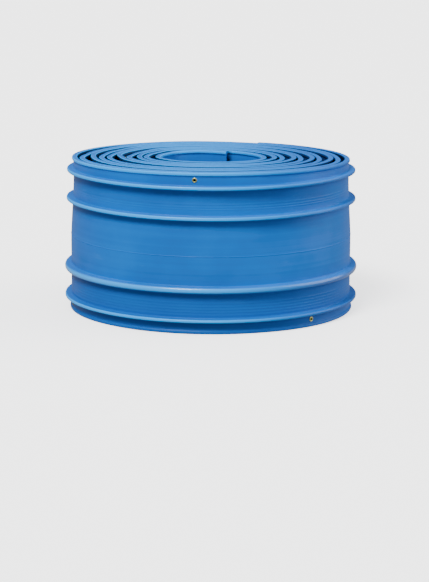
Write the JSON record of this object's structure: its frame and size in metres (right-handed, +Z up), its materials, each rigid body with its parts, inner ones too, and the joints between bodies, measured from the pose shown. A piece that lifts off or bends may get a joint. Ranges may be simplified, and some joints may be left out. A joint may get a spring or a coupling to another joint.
{
  "type": "pvc waterstop",
  "caption": "Coil of ribbed PVC waterstop strip standing on its end, with beaded edges and brass tying eyelets. It seals joints in concrete.",
  "frame": {"origin": "on the coil's axis, in the plane that the coil stands on", "axes": "+Z up along the coil's axis, -Y towards the front of the picture"},
  "size_m": [0.486, 0.486, 0.25],
  "materials": {
    "pvc_strip": "satin blue flexible PVC",
    "eyelet": "plain pressed brass"
  },
  "bodies": {
    "root": {"waterstop_coil": "pvc_strip", "eyelet_top_1": "eyelet", "eyelet_top_2": "eyelet", "eyelet_top_3": "eyelet", "eyelet_bottom_1": "eyelet", "eyelet_bottom_2": "eyelet", "eyelet_bottom_3": "eyelet"}
  },
  "joints": []
}
